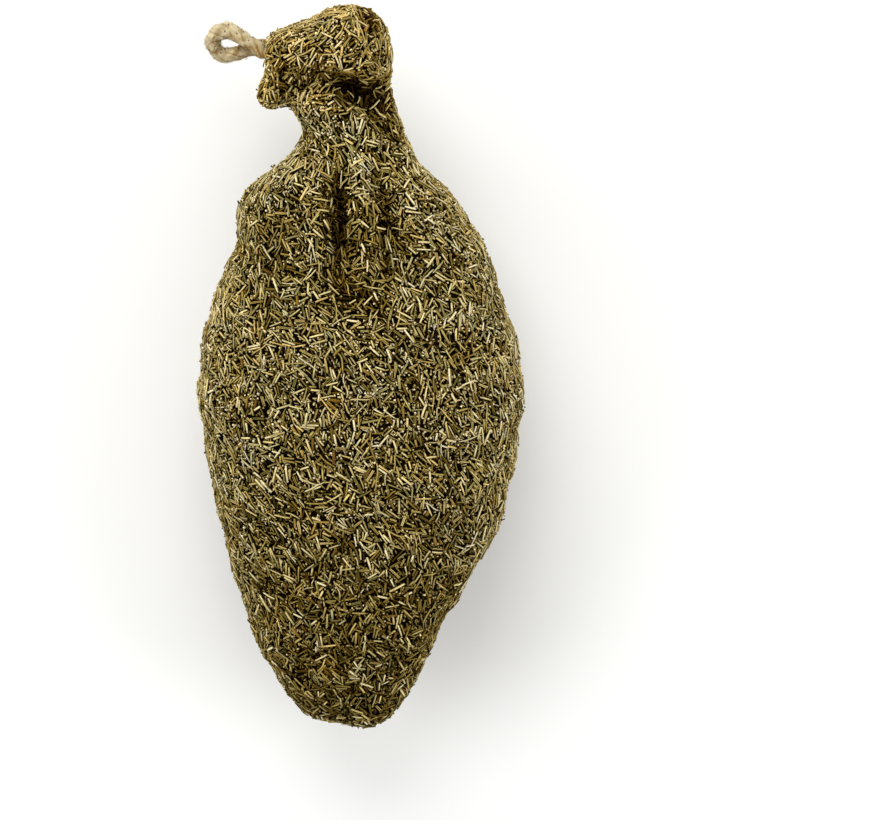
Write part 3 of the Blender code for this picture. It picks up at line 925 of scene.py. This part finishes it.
def place_herbs(herb, skin, room, random, tied_end):
    """Where herbs of one kind lie, with the skin's normals, their light, angle, length, width and rise."""

    def density(points):
        by_end = np.where(points[:, 1] > tied_end, herb.tied_end, 1.0)
        return (1 + herb.clumping * clumps(points, DENSITY_PATCH)) * by_end

    tries = TRIES if herb.on_top else 1
    places, normals, light = skin.scatter(herb.count * tries, random, density)
    angle = lie_angles(places, random, tied_end)
    places, normals, angle = bundle_up(herb, places, normals, angle, random)
    length = random.uniform(*herb.length, len(places)) * MM
    width = random.uniform(*herb.width, len(places)) * MM
    if not herb.on_top:
        return places, normals, light, angle, length, width, np.zeros(len(places))
    along, _ = herb_directions(normals, angle)
    reach = np.maximum(length - width, 0)[:, None, None] / 2
    reach = reach * np.linspace(-1, 1, ROOM_SPOTS)[None, :, None]
    crossing = random.random(len(places)) < CROSSING_CHANCE
    found = room.find(places[:, None] + along[:, None] * reach, width, crossing, herb.count)
    raised = crossing * CROSSING_HEIGHT
    return [values[found] for values in (places, normals, light, angle, length, width, raised)]


def add_herbs(herb, skin, room, material, random, tied_end):
    """Scatters one kind of herb over the skin, as one mesh."""
    places, normals, light, angle, length, width, raised = place_herbs(herb, skin, room, random, tied_end)
    count = len(places)
    line, sides, ups, share = herb_lines(herb, skin, places, normals, angle, length, raised, random)
    thick = random.uniform(*herb.thickness, count) * MM
    step = np.linspace(-1, 1, herb.rings)
    near, far = random.uniform(*herb.ends, (2, count, 1))
    narrow = np.where(step < 0, 1 - (1 - near) * step**2, 1 - (1 - far) * step**2)
    shape = np.array(herb.section)
    points = (
        line[:, :, None]
        + sides[:, :, None] * (shape[:, 0] * width[:, None, None] / 2 * narrow[:, :, None])[..., None]
        + ups[:, :, None] * (shape[:, 1] * thick[:, None, None] * narrow[:, :, None])[..., None]
    )
    # Painted shade: the lower a herb lies, the darker it is
    lowest, topmost = herb.light
    light = light * (lowest + (topmost - lowest) * share**LAYER_POWER)
    colours = pick_colours(herb.colours, light, golden(places, tied_end), random, HERB_SPREAD)
    # Painted light along each herb's top and painted shade along its edges, times a random tone along its
    # length
    uneven = shape[None, None, :, 2] * random.uniform(*RING_LIGHT, (count, herb.rings))[:, :, None]
    shades = capped(darkened(colours[:, None, None], uneven[..., None]))
    quads, ends = tube_faces(count, herb.rings, len(shape))
    add_crust_piece(herb.name, points, quads, ends, shades, material)


def add_cut_ends(skin, room, material, random, tied_end):
    """Cut stems that stand on end, so that only their light ends show, with painted shade down their sides.
    """
    places, normals, light = skin.scatter(CUT_END_COUNT * TRIES, random)
    radius = random.uniform(*CUT_END_RADIUS, len(places)) * MM
    crossing = random.random(len(places)) < CUT_END_CROSSING
    found = room.find(places[:, None], radius * 2, crossing, CUT_END_COUNT)
    places, normals, light, radius = places[found], normals[found], light[found], radius[found]
    count = len(places)
    lean = unit(normals + CUT_END_LEAN * random.normal(0, 1, (count, 3)))
    aside = unit(np.cross(lean, ANY_WAY))
    ahead = np.cross(lean, aside)
    top = random.uniform(*CUT_END_TOP, count) * MM
    angle = -np.arange(CUT_END_SIDES)[None, :, None] * 2 * math.pi / CUT_END_SIDES
    ring = (aside[:, None] * np.cos(angle) + ahead[:, None] * np.sin(angle)) * radius[:, None, None]
    foot = places + lean * (top - CUT_END_LENGTH * MM)[:, None]
    head = places + lean * top[:, None]
    points = np.stack([foot[:, None] + ring * CUT_END_FOOT, head[:, None] + ring], axis=1)
    colours = pick_colours(CUT_ENDS, light, golden(places, tied_end), random, CUT_END_SPREAD)
    # Painted shade down each stem towards its foot
    shades = np.stack([darkened(colours, CUT_END_FOOT_LIGHT), colours], axis=1)
    shades = shades[:, :, None] * np.ones((1, 1, CUT_END_SIDES, 1))
    quads, ends = tube_faces(count, 2, CUT_END_SIDES)
    add_crust_piece("herb_cut_ends", points, quads, ends, shades, material)


def add_crust_piece(name, points, quads, ends, shades, material):
    """One kind of herb as a piece of the crust that stays off the floor."""
    points = points.reshape(-1, 3)
    points[:, 2] = np.maximum(points[:, 2], FLOOR_GAP)
    herbs = mesh_object(name, points, quads, ends, shades.reshape(-1, 3))
    herbs.data.materials.append(material)
    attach(herbs, "root")


def shrink_core(form, skin):
    """Draws the form in under the herbs, and keeps it off the floor."""
    points = skin.points - skin.normals * CORE_DEPTH
    points[:, 2] = np.maximum(points[:, 2], 2 * FLOOR_GAP)
    form.data.vertices.foreach_set("co", points.astype(np.float32).ravel())
    form.data.update()
    fewer = form.modifiers.new("fewer", "DECIMATE")
    fewer.ratio = CORE_SHARE
    form.data = take_modified(form)
    form.data.name = "herb_core"
    form.data.shade_smooth()


# Materials


def new_material(name, roughness, specular):
    material = bpy.data.materials.new(name)
    material.use_nodes = True
    shader = material.node_tree.nodes["Principled BSDF"]
    shader.inputs["Roughness"].default_value = roughness
    shader.inputs["Specular IOR Level"].default_value = specular
    return material, material.node_tree, shader


def add_noise(tree, scale, detail):
    noise = tree.nodes.new("ShaderNodeTexNoise")
    noise.inputs["Scale"].default_value = scale
    noise.inputs["Detail"].default_value = detail
    place = tree.nodes.new("ShaderNodeTexCoord")
    tree.links.new(place.outputs["Object"], noise.inputs["Vector"])
    return noise


def add_bump(tree, shader, noise, strength, distance):
    bump = tree.nodes.new("ShaderNodeBump")
    bump.inputs["Strength"].default_value = strength
    bump.inputs["Distance"].default_value = distance
    tree.links.new(noise.outputs["Fac"], bump.inputs["Height"])
    tree.links.new(bump.outputs["Normal"], shader.inputs["Normal"])


def tint_point_colour(tree, shader, noise, low, high):
    """Gives the shader the mesh's colour at its points, with any painted light and shade it holds, times the
    noise spread from low to high.
    """
    own = tree.nodes.new("ShaderNodeAttribute")
    own.attribute_name = "point_colour"
    spread = tree.nodes.new("ShaderNodeMapRange")
    spread.inputs["From Min"].default_value = NOISE_RANGE[0]
    spread.inputs["From Max"].default_value = NOISE_RANGE[1]
    spread.inputs["To Min"].default_value = low
    spread.inputs["To Max"].default_value = high
    tree.links.new(noise.outputs["Fac"], spread.inputs["Value"])
    tint = tree.nodes.new("ShaderNodeVectorMath")
    tint.operation = "SCALE"
    tree.links.new(own.outputs["Color"], tint.inputs[0])
    tree.links.new(spread.outputs["Result"], tint.inputs["Scale"])
    tree.links.new(tint.outputs["Vector"], shader.inputs["Base Color"])


def herb_material():
    """Dry cut leaf and stem: the mesh's colour with its painted light and shade, and fine mottling."""
    material, tree, shader = new_material("dried_herb", roughness=0.65, specular=0.05)
    mottle = add_noise(tree, scale=1400, detail=3)
    tint_point_colour(tree, shader, mottle, low=0.75, high=1.2)
    add_bump(tree, shader, mottle, strength=0.35, distance=0.0002)
    return material


def core_material():
    """The dark bed under the needles: herb dust, painted as dark as the shade in the gaps between them."""
    material, tree, shader = new_material("herb_dust_and_shade", roughness=1.0, specular=0.0)
    grains = add_noise(tree, scale=900, detail=6)
    ramp = tree.nodes.new("ShaderNodeValToRGB")
    for stop, position, colour in zip(ramp.color_ramp.elements, DUST_RAMP, (DUST_AND_SHADE_DARK, DUST_AND_SHADE_LIGHT)):
        stop.position = position
        stop.color = (*linear(colour), 1)
    tree.links.new(grains.outputs["Fac"], ramp.inputs["Fac"])
    tree.links.new(ramp.outputs["Color"], shader.inputs["Base Color"])
    add_bump(tree, shader, grains, strength=0.9, distance=0.0008)
    return material


def twine_material():
    """Soft undyed natural fibre: its own colour with fine unevenness and a soft sheen."""
    material, tree, shader = new_material("twine_fibre", roughness=0.9, specular=0.05)
    fibres = add_noise(tree, scale=1300, detail=5)
    tint_point_colour(tree, shader, fibres, low=0.82, high=1.14)
    shader.inputs["Sheen Weight"].default_value = 0.25
    shader.inputs["Sheen Roughness"].default_value = 0.5
    add_bump(tree, shader, fibres, strength=0.6, distance=0.0005)
    return material


# Floor and light


def add_floor():
    data = bpy.data.meshes.new("floor")
    half = FLOOR_HALF
    corners = [(-half, -half, 0), (half, -half, 0), (half, half, 0), (-half, half, 0)]
    data.from_pydata(corners, [], [(0, 1, 2, 3)])
    floor = bpy.data.objects.new("floor", data)
    bpy.context.scene.collection.objects.link(floor)
    material, _, shader = new_material("pale_floor", roughness=0.9, specular=0.1)
    shader.inputs["Base Color"].default_value = (*linear(FLOOR_COLOUR), 1)
    data.materials.append(material)


def add_light(name, place, power):
    data = bpy.data.lights.new(name, "AREA")
    data.shape = "DISK"
    data.size = LIGHT_SIZE
    data.energy = power
    light = bpy.data.objects.new(name, data)
    light.location = place
    light.rotation_euler = (Vector(VIEW_CENTRE) - Vector(place)).to_track_quat("-Z", "Y").to_euler()
    bpy.context.scene.collection.objects.link(light)


def add_world():
    world = bpy.data.worlds.new("studio")
    world.use_nodes = True
    background = world.node_tree.nodes["Background"]
    background.inputs["Color"].default_value = WORLD_COLOUR
    background.inputs["Strength"].default_value = WORLD_STRENGTH
    bpy.context.scene.world = world


# The whole scene


def dress_ham(node, twine_line, dry_herb):
    """The crust: every kind of herb on the ham's form, and the form itself as the bed under them."""
    form = ham_form(node)
    skin = Skin(form, twine_line)
    random = np.random.default_rng(SEED)
    tied_end = skin.points[:, 1].max() - TIED_END_LENGTH
    room = Room()
    for herb in HERBS:
        add_herbs(herb, skin, room, dry_herb, random, tied_end)
    add_cut_ends(skin, room, dry_herb, random, tied_end)
    shrink_core(form, skin)
    form.data.materials.clear()
    form.data.materials.append(core_material())
    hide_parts("ham")
    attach(form, "root")


def main():
    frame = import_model()
    add_camera()
    line = smooth_route(twine_route(), TWINE_RINGS)
    random = np.random.default_rng(SEED)
    fibre = twine_material()
    dry_herb = herb_material()
    twine = add_twine(line, fibre, random)
    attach(twine, "root")
    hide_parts("twine_loop")
    add_fibres(line, fibre, random)
    add_specks(line, dry_herb, random)
    dress_ham(frame["nodes"]["ham"], line, dry_herb)
    add_floor()
    for name, place, power in LIGHTS:
        add_light(name, place, power)
    add_world()
    bpy.context.scene.view_settings.view_transform = "Standard"


main()
